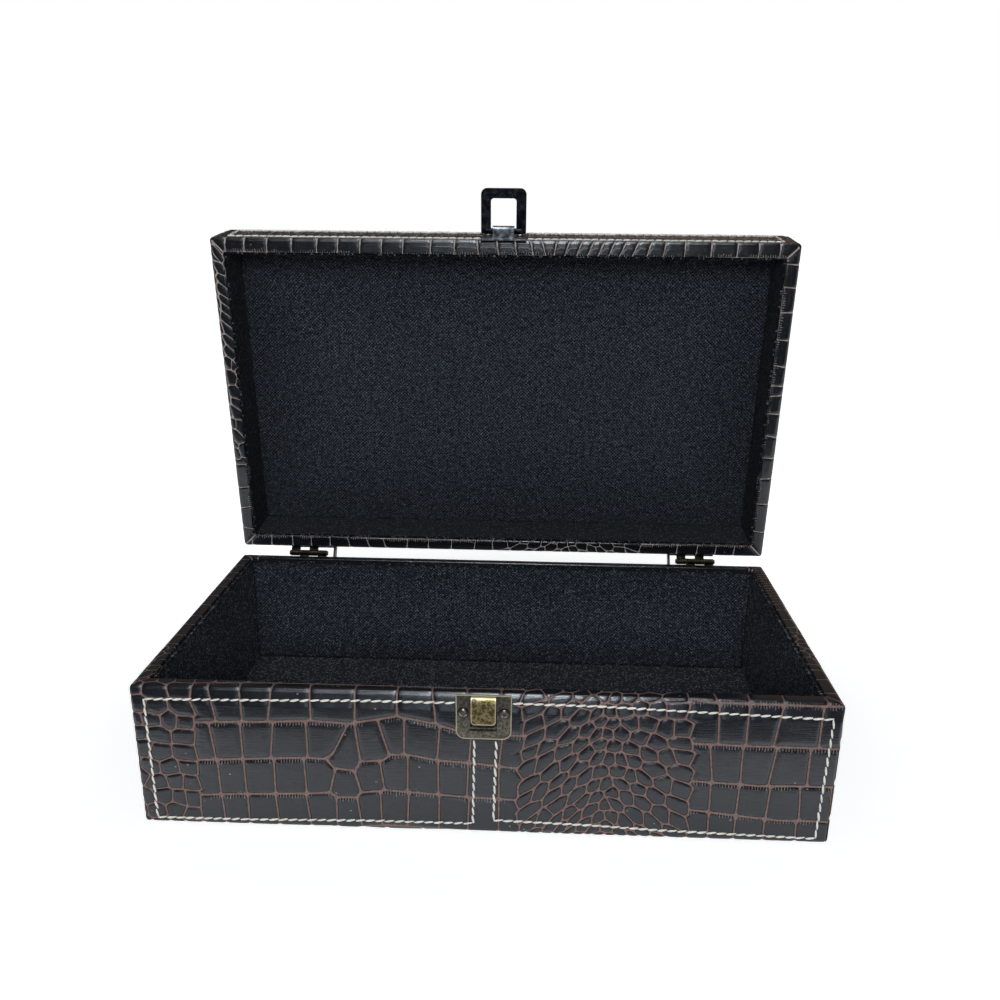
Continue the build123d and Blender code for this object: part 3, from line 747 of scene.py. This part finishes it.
def base_front_plan():
    """The grain of the base's front, as in the photograph."""
    low = (-139, -79, -70, -66, -58, -55, -44, -32, -7, 12, 98, 135)
    low_levels = np.array((16.0, 18.7, 19.4, 17.1, 17.4, 20.2, 22.0, 21.4, 19.6, 19.0, 16.3, 12.4))
    rows = [
        plain_row(-24.0, 1.0),
        bent_row(low, low_levels - ROW_PITCH, 2.0),
        bent_row(low, low_levels, 3.0),
        bent_row(
            (-138, -78, -71, -67, -58, -55, -45, -41, -33, -20, -6, 12, 97, 124, 142),
            (34.0, 37.5, 37.3, 32.8, 31.7, 36.5, 37.4, 40.2, 40.5, 38.0, 37.2, 35.2, 31.4, 29.7, 30.4), 4.0,
        ),
        bent_row(
            (-134, -77, -60, -38, -20, -11, 12, 93, 140),
            (53.5, 56.3, 55.1, 59.6, 56.0, 53.0, 52.0, 50.0, 49.8), 5.0,
        ),
        bent_row(
            (-151, -136, -130, -110, -75, 12, 24, 92, 100, 158),
            (71.0, 73.2, 74.4, 75.6, 76.2, 76.4, 76.2, 72.2, 70.9, 70.6), 6.0,
        ),
        plain_row(90.6, 7.0),
        plain_row(110.0, 8.0),
    ]
    columns = [
        [(0, 0)],
        free_columns(-122, 5),
        [
            (-120, -119), (-108, -108), (-95, -94), (-81, -79), (-67, -67), (-57.4, -55.5), (-46.5, -46.3),
            (-33.5, -34.5), (-19.6, -20), (-6, -6.8), (7.5, 7.5), (102.6, 103), (114.8, 114.6),
            (127.8, 128.2), (142, 143), (157, 158),
        ],
        [
            (-120.6, -120.2), (-108.6, -108.3), (-94.6, -94.9), (-81, -80.4), (-66.6, -69.8), (-58.2, -55.4),
            (-46.4, -44.6), (-33.6, -34.1), (-20, -20), (-6.4, -7), (7.4, 7.5), (102.3, 102.6),
            (115.2, 114.7), (129, 128.1), (142, 143.2), (156, 157),
        ],
        [
            (-123, -121), (-108.8, -108.7), (-93.8, -96), (-79, -79), (-60, -71), (-57.2, -55.1),
            (-46.8, -41.7), (-34.8, -35.3), (-19, -20.4), (-5.1, -6), (8.9, 7.4), (100.5, 102.8),
            (115, 115.3), (130, 127.7), (144.6, 144.8), (158, 158),
        ],
        [
            (-122.3, -119.4), (-107.8, -107.6), (-92.8, -96.1), (-76.4, -76.6), (-56.2, -57), (-37.6, -38.1),
            (-22.6, -20.7), (-7, -6), (8, 9), (103, 104), (116, 116), (130.7, 128.1), (147.8, 147.8),
            (160, 160),
        ],
        [
            (-118, -120), (-104, -105), (-90, -91), (-74, -74), (-56, -56), (-40, -41), (-25, -24), (-9, -8),
            (7, 8), (100, 102), (116, 116), (131, 131), (148, 150),
        ],
        free_columns(-122, 9),
    ]
    areas = [
        cell_area((-190, -196), (-130.5, -129), leaning((9.0, 7.9), 0.0, 0.05), 3, jitter=0.16, drift=-0.3),
        cell_area(
            (18.5, 17, 15.5, 16.5, 18.5, 17.5, 17), (93, 93, 93.5, 94, 92.5, 90, 88),
            fan(55.5, 30.0, 6.0, (0.014, 0.85), (0.02, 0.42)), 4, (-16, 4, 20, 35, 52, 66, 110), 0.15,
        ),
    ]
    return {"rows": rows, "columns": columns, "areas": areas, "rim": BASE_RIM, "fine": 1.0, "pale": 0.0}


def simple_plan(levels, seed, areas=(), rim=None, past=(BASE_RIM, 1.3, 0.35)):
    """A plan with plain rows, for the walls that the photograph shows little of. The rim is a row index and
    its column lines as place and lean. Past it lines are thin and pale."""
    columns = [free_columns(-170, 31 * seed + index) for index in range(len(levels))]
    if rim:
        columns[rim[0]] = [(place - lean, place + lean) for place, lean in rim[1]]
    return {
        "rows": [plain_row(level, seed + index) for index, level in enumerate(levels)],
        "columns": columns,
        "areas": [cell_area(*area) for area in areas],
        **dict(zip(("rim", "fine", "pale"), past)),
    }


def covers():
    """The leatherette of both halves, wall by wall, and the lid's top panel."""
    levels = (-24, -5, 14, 33, 52, 71.5, 90, 109)
    plain = (0.018, 0.7)
    low_part = (AREA_SPAN, 0.13, None, 58.0)
    base_plans = (
        base_front_plan(),
        simple_plan(levels, 12, [
            ((-50, -50), (-4, -6), fan(-26.0, 36.0, 5.4, plain, plain), 21),
            ((26, 28), (84, 84), leaning((3.9, 15.0), 0.15, 0.0), 30),
        ]),
        simple_plan(levels, 13, [
            ((-150, -150), (-100, -102), leaning((8.8, 7.0), 0.0, 0.1), 22, *low_part),
            ((50, 52), (124, 122), fan(88.0, 36.0, 5.4, plain, plain), 23, *low_part),
        ], (6, [(-148, 0.2), (146, 0.3)])),
        simple_plan(levels, 14, [((48, 50), (120, 120), leaning((6.2, 6.4), 0.3, 0.1), 24, AREA_SPAN, 0.2)]),
    )
    lid_levels = (-24, -5, 14, 30.5, 42.8, 60)
    even = (-148.7, -138.4, -126.2, -112.9, -99.2, -88, -76, -64.5, -53, -38.2)
    front_rim = [(place, 0.4) for place in even]
    front_rim += [(-25.5, 0.3), (-13.3, -0.6), (-2.7, -0.8), (6.9, -0.7), (15.4, -1.0), (21.5, -1.6)]
    front_rim += [(28.5, 1.2), (35, 2.2), (41.5, 2.6), (47.5, 2.8), (53, 2.8), (58.5, 2.6), (64.5, 2.8)]
    front_rim += [(71, 2.6), (78, 1.8), (86, 1.2)]
    front_rim += [(place, 0.3) for place in (96.5, 110.3, 124, 135.2, 146.3)]
    right_rim = [(-80, 0.5), (-68, 0.6), (-55, 0.2), (-40, 0.5), (-25.3, 1.2), (-14.6, 0.4), (-9.3, -0.6)]
    right_rim += [(1.4, 0.3), (15, 1.4), (27.5, 0.3), (40, -0.4), (56, 0.4), (73.8, 0.9)]
    rear_rim = [(-140, 0.3), (-129, 0.4), (-118, 0.4), (-106, 0.2), (16, 0.8), (30, 0.4), (44, 0.2)]
    rear_rim += [(57, 0.6), (70, -1.6), (80, -1.8), (92, -1.2), (104, 0.2), (115.5, 0.1), (127, 0.3)]
    rear_rim += [(140, 0.6), (152, 0.2)]
    lid_past = (LID_RIM, 1.9, 0.85)
    lid_plans = (
        simple_plan(lid_levels, 15, (), (4, front_rim), lid_past),
        simple_plan(lid_levels, 16, (), (4, right_rim), lid_past),
        simple_plan(lid_levels, 17, [
            ((-84, -84), (4, 6), fan(-42.0, 20.0, 5.4, plain, plain), 26),
        ], (4, rear_rim), lid_past),
        simple_plan(lid_levels, 18, [
            ((19, 19), (110, 110), leaning((5.8, 6.6), 0.75, 0.0), 27, AREA_SPAN, 0.2),
            ((-34, -34), (19, 19), leaning((7.4, 6.6), 0.2, 0.1), 31, AREA_SPAN, 0.2),
        ], None, lid_past),
    )
    sizes = ((CASE_WIDTH, CASE_DEPTH), (CASE_DEPTH, CASE_WIDTH)) * 2
    halves = (("base", BASE_TRAY, on_base, base_plans, False), ("lid", LID_TRAY, on_lid, lid_plans, True))
    for turns, side in enumerate(("front", "right", "rear", "left")):
        for half, *tray, plans, flip in halves:
            piece = wall(f"{half}_cover_{side}", turns, *sizes[turns], *tray, plans[turns], flip)
            handed_over(piece, half, "leatherette", f"{half}_cover")
    handed_over(top_panel(), "lid", "leatherette", "lid_cover")


def top_panel():
    """The flat of the lid's top, up to the rounded edges of its walls."""
    halves = (CASE_WIDTH / 2 - EDGE, CASE_DEPTH / 2 - EDGE)
    x, y = np.meshgrid(*[np.linspace(-half, half, int(2 * half / PANEL_STEP) + 1) for half in halves])
    points = np.column_stack([x.ravel(), y.ravel(), np.zeros(x.size)])
    up = directions(on_lid, np.tile((0.0, 0.0, -1.0), (x.size, 1)))
    faces = grid_faces(np.arange(x.size).reshape(x.shape))
    plan = simple_plan(np.arange(-114, 120, ROW_PITCH), 19, [
        ((-170, -170), (-126, -128), leaning((9.4, 7.6), 0.0, 0.1), 28, (-100.0, 100.0), 0.12, -0.3),
        ((18, 20), (94, 90), fan(56.0, 0.0, 5.2, (0.013, 0.9), (0.02, 0.45)), 29, (-100.0, 100.0)),
    ])
    plan["rim"] = 1000.0
    return grained_sheet("lid_cover_top", on_lid(points), up, x.ravel(), y.ravel(), faces, plan)


# Stitching
def stitches(runs, seed, pitch=4.5, radius=0.49):
    """Points and faces of raised slanted stitches along straight runs of (start, end, outward)."""
    random = np.random.default_rng(seed)
    rings, sides = 7, 8
    t = np.linspace(-1, 1, rings)[:, None]
    turn = np.linspace(0, math.tau, sides, endpoint=False)[None, :]
    points, faces = [], []
    for start, end, outward in runs:
        start, end, outward = (np.array(value, float) for value in (start, end, outward))
        length = np.linalg.norm(end - start)
        ahead = (end - start) / length
        aside = np.cross(outward, ahead)
        count = max(1, int(round(length / pitch)))
        for index in range(count):
            middle = start + ahead * length * (index + 0.5) / count
            slant = math.radians(9) + random.normal(0, 0.035)
            run = ahead * math.cos(slant) + aside * math.sin(slant)
            across = aside * math.cos(slant) - ahead * math.sin(slant)
            half = length / count / 2 * random.uniform(1.04, 1.12)
            thick = radius * random.uniform(0.88, 1.08)
            body = thick * np.sqrt(np.clip(1 - (t * 0.985) ** 4, 0.02, 1))
            twist = 1 + 0.13 * np.cos(2 * (turn - 2.4 * t))
            lift = 0.5 * thick * (1 - t**2) - 0.12
            side = body * twist * np.cos(turn)
            out = lift + body * 0.8 * twist * np.sin(turn)
            ring = middle + t[..., None] * half * run + side[..., None] * across + out[..., None] * outward
            base = len(points) * rings * sides
            points.append(ring.reshape(-1, 3))
            for i, j in np.ndindex(rings - 1, sides):
                near, far, k = base + i * sides, base + (i + 1) * sides, (j + 1) % sides
                faces.append((near + j, near + k, far + k, far + j))
            faces.append(tuple(base + j for j in reversed(range(sides))))
            faces.append(tuple(base + (rings - 1) * sides + j for j in range(sides)))
    return np.concatenate(points), faces


def base_stitching():
    """Two stitched frames on the base's front, either side of the latch."""
    y = FRONT + SEAT_DEPTH
    plate = 12.6
    paths = (
        ((-151.0, 65.0), (-108.0, 65.7), (-54.0, 67.1), (LATCH_X - plate, 67.3)),
        ((-151.0, 3.9), (-108.0, 4.2), (-54.0, 5.6), (-4.3, 5.9)),
        ((-151.0, 3.9), (-151.0, 65.0)),
        ((-4.3, 5.9), (-3.6, 49.0)),
        ((LATCH_X + plate, 67.8), (50.0, 67.6), (80.0, 66.6), (152.8, 64.3)),
        ((5.1, 8.0), (50.0, 6.9), (80.0, 5.5), (151.4, 3.7)),
        ((151.4, 3.7), (152.8, 64.3)),
        ((5.1, 8.0), (6.2, 49.0)),
    )
    runs = []
    for path in paths:
        for (x, z), (next_x, next_z) in zip(path, path[1:]):
            runs.append(((x, y, z), (next_x, y, next_z), (0, -1, 0)))
    points, faces = stitches(runs, 41)
    return mesh_object("base_stitching", points, faces, THREAD)


def lid_stitching():
    """A stitched frame on the lid's front wall and one round its top."""
    y = FRONT + SEAT_DEPTH
    out = (0, -1, 0)
    low, high = LID_TOP - LID_TRAY + 7.6, LID_TOP - 5.0
    plate = 12.4
    runs = []
    for side in (-1, 1):
        outer = side * 149.0
        runs.append(((outer, y, low), (LATCH_X + side * plate, y, low), out))
        runs.append(((outer, y, high), (0.0, y, high), out))
        runs.append(((outer, y, low), (outer, y, high), out))
    top = LID_TOP - SEAT_DEPTH
    x, back = 150.5, 83.5
    corners = [(-x, -back, top), (x, -back, top), (x, back, top), (-x, back, top)]
    runs += [(corners[i], corners[(i + 1) % 4], (0, 0, 1)) for i in range(4)]
    points, faces = stitches(runs, 42, 4.3, 0.60)
    return mesh_object("lid_stitching", swung(points, -OPEN_ANGLE), faces, THREAD)


# Lining cards
def card(node, thin, light_level, glint_share, edge_lift=0.0):
    """A cloth-covered card in place of a CAD lining: soft edges, a slight cockle, its painted light level and
    its share of painted glints. Its painted light can be lifted along the front edge, against the shadow of
    the wall above that edge."""
    low, high = (np.array(corner) / MM for corner in closed_box(node))
    centre, half = (low + high) / 2, (high - low) / 2
    flat = [axis for axis in range(3) if axis != thin]
    rows = []
    for axis in flat:
        inner = np.arange(-half[axis] + 1.0, half[axis] - 1.0, CARD_STEP)
        ends = half[axis] - np.array((0.0, 0.12, 0.35, 0.65))
        rows.append(np.unique(np.round(np.concatenate([-ends, inner, ends]), 4)))
    a, b = np.meshgrid(*rows, indexing="ij")
    border = np.minimum(half[flat[0]] - np.abs(a), half[flat[1]] - np.abs(b))
    sink = CARD_EDGE * (1 - np.sqrt(np.clip(1 - (1 - np.clip(border / CARD_EDGE, 0, 1)) ** 2, 0, 1)))
    cockle = 0.10 * (np.sin(a / 17.0 + b / 29.0) + np.sin(b / 13.0 - a / 41.0)) - 0.2
    thick = half[thin] - sink + np.where(border > 2.0, np.minimum(cockle, 0), 0) * np.clip(border / 20, 0, 1)
    index = np.arange(a.size).reshape(a.shape)
    quads = grid_faces(index)
    points = []
    for side in (1, -1):
        layer = np.zeros((a.size, 3))
        layer[:, flat[0]] = a.ravel()
        layer[:, flat[1]] = b.ravel()
        layer[:, thin] = side * thick.ravel()
        points.append(layer + centre)
    rim = np.concatenate([index[:-1, 0], index[-1, :-1], index[:0:-1, -1], index[0, :0:-1]])
    back = index.size
    skirt = [(int(p), int(q), int(q) + back, int(p) + back) for p, q in zip(rim, np.roll(rim, -1))]
    faces = quads[:, ::-1].tolist() + (quads + back).tolist() + [face[::-1] for face in skirt]
    points = np.concatenate(points)
    weave = np.column_stack([np.tile(a.ravel(), 2), np.tile(b.ravel(), 2), points[:, thin]])
    if node.startswith("lid"):
        points = swung(points, -OPEN_ANGLE)
    made = mesh_object(f"{node}_cloth", points, faces, LINING)
    clean_normals(made)
    store(made, "weave", weave)
    # Painted light along the front edge, against the shadow that the wall above it casts.
    light_levels = light_level * (1 + edge_lift * np.exp(-(((b + half[flat[1]]) / EDGE_LIFT_REACH) ** 2)))
    doubled = [np.tile(values.ravel(), 2) for values in (border, light_levels)]
    store(made, "cloth", np.column_stack([*doubled, np.full(len(points), glint_share)]))
    return made


def closed_box(node):
    """A CAD node's box in metres, taken in the closed lid's frame for the lid's nodes."""
    if not node.startswith("lid"):
        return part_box(node)
    points = np.array([vertex.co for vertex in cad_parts[node].data.vertices]) / MM
    closed = swung(points, OPEN_ANGLE)
    return closed.min(0) * MM, closed.max(0) * MM


def clean_normals(piece):
    """Points every face outward."""
    form = bmesh.new()
    form.from_mesh(piece.data)
    bmesh.ops.recalc_face_normals(form, faces=form.faces)
    form.to_mesh(piece.data)
    form.free()


def linings():
    """All ten cards. Each has its painted light level and its share of painted glints."""
    thin = {"floor": 2, "top": 2, "front": 1, "rear": 1, "left": 0, "right": 0}
    # Per card: painted light level, share of painted glints and, for the lid's top, painted light along its
    # front edge.
    cloth = {
        "base": {
            "floor": (1.3, 0.8), "front": (0.8, 0.5), "rear": (1.2, 0.2), "left": (3.0, 1.5),
            "right": (3.4, 1.8),
        },
        "lid": {
            "top": (0.97, 0.08, 0.9), "front": (0.4, 0.4), "rear": (0.15, 0.25), "left": (0.2, 0.25),
            "right": (0.3, 0.3),
        },
    }
    for half, sides in cloth.items():
        for side, finish in sides.items():
            node = f"{half}_lining_{side}"
            handed_over(card(node, thin[side], *finish), half, "woven_lining", node)


# Metalwork
def bevelled(name, node, body, slot, material, width=0.3):
    """A CAD metal part with its sharp edges broken."""
    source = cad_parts[node]
    form = bmesh.new()
    form.from_mesh(source.data)
    bmesh.ops.remove_doubles(form, verts=form.verts, dist=0.002 * MM)
    bmesh.ops.dissolve_limit(form, angle_limit=math.radians(0.5), verts=form.verts, edges=form.edges)
    sharp = [edge for edge in form.edges if edge.is_manifold and edge.calc_face_angle(0) > math.radians(28)]
    bmesh.ops.bevel(
        form, geom=sharp, offset=width * MM, segments=2, profile=0.6, affect="EDGES", clamp_overlap=True
    )
    for face in form.faces:
        face.smooth = True
    mesh = bpy.data.meshes.new(name)
    form.to_mesh(mesh)
    form.free()
    mesh.materials.append(material)
    piece = linked(name, mesh)
    weighted = piece.modifiers.new("Even shading", "WEIGHTED_NORMAL")
    weighted.keep_sharp = True
    return handed_over(piece, body, slot, node)


def catch_back():
    """The pressed ledge seen through the catch's window, under the tongue's tip."""
    steps = ((54.0, 0.3), (54.5, 0.3), (54.65, 0.05), (54.95, 0.05), (55.1, 0.55), (55.75, 0.55), (55.9, 0.1))
    half = TONGUE_HALF + 0.45
    rows = (*steps, (54.0, 0.0), (55.9, 0.0))
    points = [(LATCH_X + side * half, FRONT - out, z) for z, out in rows for side in (-1, 1)]
    count = len(steps)
    faces = [(2 * i, 2 * i + 1, 2 * i + 3, 2 * i + 2) for i in range(count - 1)]
    end = 2 * count
    faces += [(end, end + 1, 1, 0), (end - 2, end - 1, end + 3, end + 2), (end + 2, end + 3, end + 1, end)]
    faces += [tuple([2 * i + side for i in range(count)] + [end + 2 + side, end + side]) for side in (0, 1)]
    piece = mesh_object("catch_ledge", points, faces, CATCH, smooth=False)
    clean_normals(piece)
    handed_over(piece, "base", "antique_brass")


def metalwork():
    """Latch, hinges and screws."""
    bevelled("catch", "catch_plate", "base", "antique_brass", CATCH)
    bevelled("hasp", "hasp_plate", "lid", "antique_brass", BRASS)
    catch_back()
    for side in ("left", "right"):
        bevelled(f"base_leaf_{side}", f"hinge_base_leaf_{side}", "base", "hinge_brass", HINGE_BRASS, 0.08)
        bevelled(f"lid_leaf_{side}", f"hinge_lid_leaf_{side}", "lid", "hinge_brass", HINGE_BRASS, 0.08)
    for material, *nodes in (
        (SCREW, "catch_screws", "hasp_screws"),
        (HINGE_BRASS, "hinge_base_screws", "hinge_lid_screws", "hinge_pin_left", "hinge_pin_right"),
        (SHADED_BRONZE, "latch_loop"),
    ):
        for node in nodes:
            painted(node, material)


def painted(node, material):
    """Gives a CAD node its finish."""
    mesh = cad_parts[node].data
    mesh.materials.clear()
    mesh.materials.append(material)


def boards_and_felt():
    """The carcass under the wrap, and the underside."""
    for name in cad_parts:
        if name.endswith("_board"):
            painted(name, BOARD)
    painted("base_underside_felt", FELT_LOOK)


# Camera, light and floor
def camera():
    """The photograph's viewpoint."""
    yaw, pitch, roll = (math.radians(value) for value in CAMERA_TURN)
    ahead = Vector((math.sin(yaw) * math.cos(pitch), math.cos(yaw) * math.cos(pitch), -math.sin(pitch)))
    level = Vector((math.cos(yaw), -math.sin(yaw), 0.0))
    upright = level.cross(ahead)
    right = math.cos(roll) * level + math.sin(roll) * upright
    up = -math.sin(roll) * level + math.cos(roll) * upright
    data = bpy.data.cameras.new("camera")
    data.lens = CAMERA_LENS
    data.sensor_width = 36.0
    data.shift_x, data.shift_y = CAMERA_SHIFT
    data.clip_start, data.clip_end = 0.01, 50.0
    made = linked("camera", data)
    turned = Matrix((right, up, -ahead)).transposed().to_4x4()
    made.matrix_world = Matrix.Translation(Vector(CAMERA_PLACE) * MM) @ turned
    bpy.context.scene.camera = made


def surroundings():
    """White to the camera and in gloss and glass, and dim as a light on matt surfaces."""
    world = bpy.data.worlds.new("studio")
    bpy.context.scene.world = world
    nodes = Nodes(world, "OutputWorld")
    seen = nodes.fed(nodes.node("Background"), (1.0, 1.0, 1.0), 1.0)
    light = nodes.fed(nodes.node("Background"), (0.93, 0.96, 1.0), SURROUND)
    rays = nodes.node("LightPath").outputs["Is Diffuse Ray"]
    nodes.feed(nodes.end, nodes.fed(nodes.node("MixShader"), rays, seen, light))


def floor():
    """A white table that catches the case's shadow and fades to pure white away from the case."""
    half = 9000.0
    points = [(-half, -half, -0.2), (half, -half, -0.2), (half, half, -0.2), (-half, half, -0.2)]
    look = Look("table")
    path = look.node("LightPath")
    seen = look.math("SUBTRACT", 1.0, path.outputs["Is Diffuse Ray"])
    place = look.place()
    x, y, _ = look.parts(place)
    reach = look.math("SQRT", look.math("ADD", look.times(x, x), look.times(y, y)))
    glow = look.span(reach, 150.0, 420.0, TABLE_GLOW, TABLE_WHITE)
    shade = look.span(ahead_of_front(look, y), 5.0, 45.0, CONTACT_SHADE, 0.0)
    shaded = look.times(path.outputs["Is Glossy Ray"], shade)
    glow = look.times(glow, look.math("SUBTRACT", 1.0, shaded))
    fine = look.noise(place, 0.004)
    look.finished(
        None, Base_Color=look.mix(fine, (0.86, 0.86, 0.86), (0.90, 0.90, 0.90)), Roughness=0.8,
        Specular_IOR_Level=0.1, Emission_Color=look.mix(fine, (0.98, 0.99, 1.0), (1.0, 1.0, 1.0)),
        Emission_Strength=look.times(seen, glow),
    )
    mesh_object("table", points, [(0, 1, 2, 3)], look.material, smooth=False)


def ahead_of_front(look, y):
    """How far a place lies in front of the case."""
    return look.scaled(y, -1.0, FRONT)


def flag(look, points, faces, colour, strength):
    """A dark studio card that only glossy surfaces see."""
    look.finished(
        None, Base_Color=(0.0, 0.0, 0.0), Roughness=1.0, Specular_IOR_Level=0.0,
        Emission_Color=colour, Emission_Strength=strength,
    )
    sheet = mesh_object(look.material.name, points, faces, look.material, smooth=False)
    sheet.visible_camera = False
    sheet.visible_diffuse = False
    sheet.visible_transmission = False
    sheet.visible_shadow = False


def table_flag():
    """A card on the table in front of the case, white along its near edge."""
    look = Look("table_flag")
    ahead = ahead_of_front(look, look.parts(look.place())[1])
    fade = look.span(ahead, FLAG_NEAR, FLAG_NEAR + FLAG_FADE, 1.0, FLAG_DIM)
    near, far, half = FRONT - FLAG_NEAR, -2500.0, 1500.0
    points = [(-half, near, 0.5), (-half, far, 0.5), (half, far, 0.5), (half, near, 0.5)]
    flag(look, points, [(0, 1, 2, 3)], (1.0, 0.96, 0.95), fade)


def room():
    """The dim walls of the room: cool to warm low behind the case, and warm above that."""
    look = Look("room")
    x, y, z = look.parts(look.place())
    low = look.mix(look.span(x, -400.0, 500.0), (0.016, 0.016, 0.04), (0.12, 0.085, 0.055))
    behind = look.mix(look.span(z, 750.0, 1050.0), low, (0.13, 0.105, 0.09))
    colour = look.mix(look.span(y, 1500.0, 2200.0), (ROOM_DIM, ROOM_DIM, ROOM_DIM), behind)
    turns = [math.tau * index / ROOM_SIDES for index in range(ROOM_SIDES)]
    points = [
        (ROOM_RADIUS * math.cos(turn), ROOM_RADIUS * math.sin(turn), level)
        for level in (0.0, ROOM_HEIGHT) for turn in turns
    ]
    faces = [(i, j, j + ROOM_SIDES, i + ROOM_SIDES) for i, j in enumerate((*range(1, ROOM_SIDES), 0))]
    flag(look, points, faces, colour, 1.0)


def lamps():
    """A large lamp for matt surfaces in front, and four that only gloss shows, in metres and watts."""
    cool = (0.93, 0.97, 1.0)
    for name, place, aim, width, height, power, colour in (
        ("front", (0.02, -1.7, 0.82), (0, 0, 0.12), 0.6, 0.6, 27.5, (0.97, 0.985, 1.0)),
        ("overhead", (-0.05, -0.18, 1.10), (0, -0.08, 0), 0.42, 0.95, 4.4, cool),
        ("window", (0.02, -0.25, 1.08), (0, -0.08, 0), 0.17, 0.50, 4.2, cool),
        ("curtain", (0.015, -1.15, 0.62), (0.015, 0.0, 0.3), 0.36, 0.90, 1.85, cool),
        ("low", (0.018, -1.10, 0.05), (0, 0.1, 0.28), 0.38, 0.10, 0.75, cool),
    ):
        data = bpy.data.lights.new(name, "AREA")
        data.shape = "RECTANGLE"
        data.size, data.size_y = width, height
        data.energy = power
        data.color = colour
        lamp = linked(name, data)
        lamp.location = place
        lamp.rotation_mode = "QUATERNION"
        lamp.rotation_quaternion = (Vector(aim) - Vector(place)).to_track_quat("-Z", "Y")
        lamp.visible_camera = False
        lamp.visible_diffuse = name == "front"
        lamp.visible_glossy = name != "front"


def studio():
    """Camera, surroundings and light."""
    bpy.context.scene.view_settings.view_transform = "Standard"
    camera()
    surroundings()
    floor()
    table_flag()
    room()
    lamps()


def main():
    """Dresses the part and lights it."""
    covers()
    handed_over(base_stitching(), "base", "stitch_thread")
    handed_over(lid_stitching(), "lid", "stitch_thread")
    linings()
    metalwork()
    boards_and_felt()
    studio()


main()
